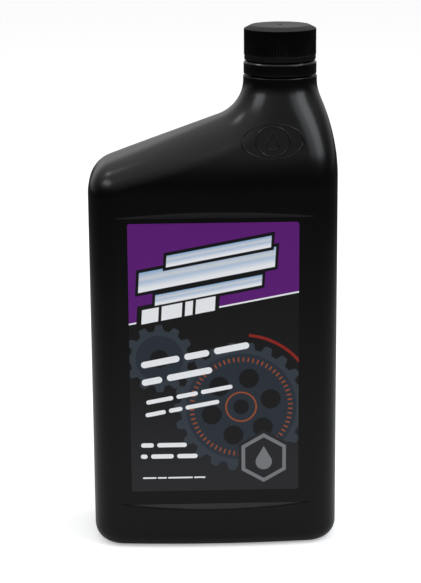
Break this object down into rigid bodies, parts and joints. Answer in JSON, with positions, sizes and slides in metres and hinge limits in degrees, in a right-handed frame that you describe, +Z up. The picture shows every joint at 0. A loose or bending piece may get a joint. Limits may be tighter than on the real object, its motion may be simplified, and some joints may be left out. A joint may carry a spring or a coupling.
{
  "type": "motor oil bottle",
  "caption": "Plastic motor oil bottle with an offset neck, a ribbed screw cap that comes up as it turns, a tamper ring, a foil seal and flat labels front and back.",
  "frame": {"origin": "centre of the base, on the plane that the bottle stands on", "axes": "+Z up, +X towards the side with the neck, -Y out of the front label"},
  "size_m": [0.1088, 0.057, 0.2291],
  "materials": {
    "bottle_plastic": "semi-gloss moulded",
    "cap_plastic": "matte moulded",
    "liner_foam": "matte foam",
    "foil": "satin foil",
    "oil": "clear amber liquid",
    "label": "printed gloss film"
  },
  "bodies": {
    "bottle": {"bottle": "bottle_plastic", "tamper_ring": "cap_plastic", "foil_seal": "foil", "oil": "oil", "front_label": "label", "back_label": "label"},
    "liner": {"cap_liner": "liner_foam"},
    "cap": {"cap": "cap_plastic"}
  },
  "joints": [
    {"name": "cap_lift", "type": "slide", "parent": "bottle", "child": "liner", "axis": [0, 0, 1], "range_m": [0, 0.0048]},
    {"name": "cap_turn", "type": "hinge", "parent": "liner", "child": "cap", "pos_m": [0.02975, 0, 0.2222], "axis": [0, 0, 1], "range_deg": [0, 540]}
  ],
  "couplings": [
    {"joint": "cap_lift", "follows": "cap_turn", "m_per_rad": 0.0005093}
  ]
}
